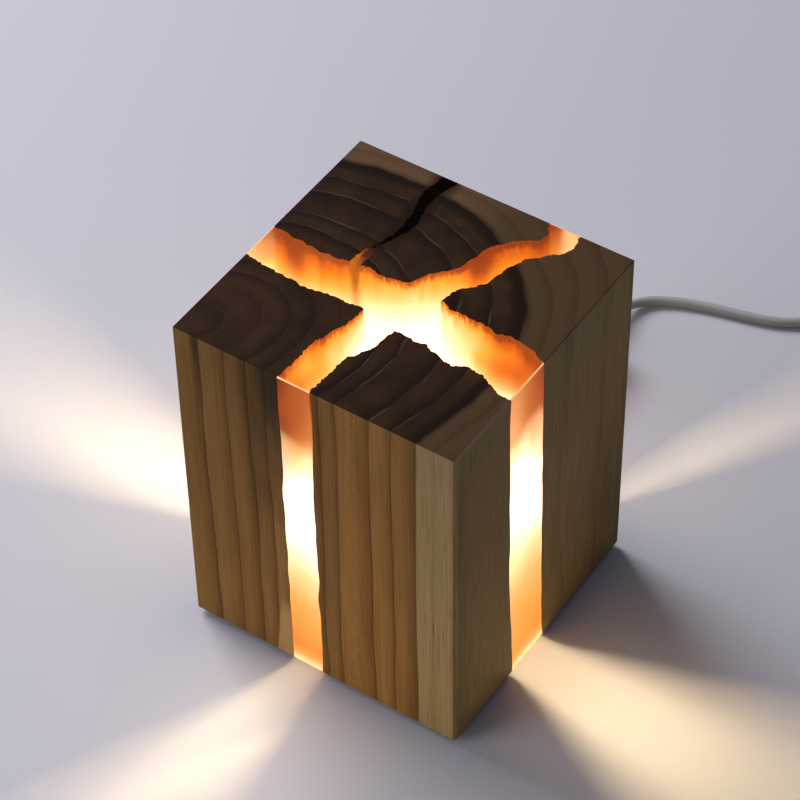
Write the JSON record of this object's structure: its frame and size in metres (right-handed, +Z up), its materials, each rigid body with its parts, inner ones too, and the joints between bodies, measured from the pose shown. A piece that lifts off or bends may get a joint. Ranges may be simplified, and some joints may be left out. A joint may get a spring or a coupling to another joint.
{
  "type": "night light",
  "caption": "Square wooden block, split into quarters by cracks of cast resin that an LED in the base lights from inside, with a cord, inline rocker switch and USB plug.",
  "frame": {"origin": "on the floor, under the middle of the block, at the underside of the pads", "axes": "+Z up along the block, +Y towards the back face where the cord leaves, +X to the right"},
  "size_m": [0.1664, 0.2722, 0.131],
  "materials": {
    "wood": "sanded, oiled; heartwood dark, sapwood pale",
    "resin": "clear cast resin with a sanded satin surface",
    "cover": "fine grain",
    "steel": "plain",
    "pads": "matte",
    "cup": "white",
    "board": "white mask on an aluminium core",
    "led": "phosphor",
    "resistor": "plain",
    "lead_black": "insulated wire",
    "lead_red": "insulated wire",
    "switch_lead": "insulated wire",
    "solder": "bright",
    "diffuser": "frosted",
    "cord": "smooth off-white jacket",
    "relief": "smooth off-white",
    "tie": "off-white",
    "switch_case": "off-white",
    "rocker": "off-white",
    "brass": "plain",
    "plug": "off-white",
    "plug_shell": "nickel plated",
    "tongue": "white"
  },
  "bodies": {
    "lamp": {"wood_quarter_front": "wood", "wood_quarter_left": "wood", "wood_quarter_back": "wood", "wood_quarter_right": "wood", "resin_cross": "resin", "base_cover": "cover", "cover_screws": "steel", "board_screws": "steel", "rocker_pin": "steel", "switch_screws": "steel", "foot_pads": "pads", "led_cup": "cup", "led_board": "board", "led_chips": "led", "board_resistors": "resistor", "lead_negative": "lead_black", "lead_positive": "lead_red", "switch_leads": "switch_lead", "solder_joints": "solder", "diffuser_disc": "diffuser", "cord_inlet": "cord", "switch_cord_ends": "cord", "cord_lamp": "cord", "cord_run": "cord", "cord_coil": "cord", "cord_tail": "cord", "plug_cord_end": "cord", "cord_relief": "relief", "switch_reliefs": "relief", "pull_stop": "tie", "coil_tie": "tie", "switch_base": "switch_case", "switch_cover": "switch_case", "contact_in": "brass", "contact_out": "brass", "plug_contacts": "brass", "plug_body": "plug", "plug_shell": "plug_shell", "plug_tongue": "tongue"},
    "rocker": {"switch_rocker": "rocker", "rocker_bridge": "brass"}
  },
  "joints": [
    {"name": "switch_rock", "type": "hinge", "parent": "lamp", "child": "rocker", "pos_m": [-0.005, 0.103, 0.007], "axis": [1, 0, 0], "range_deg": [0, 16]}
  ]
}
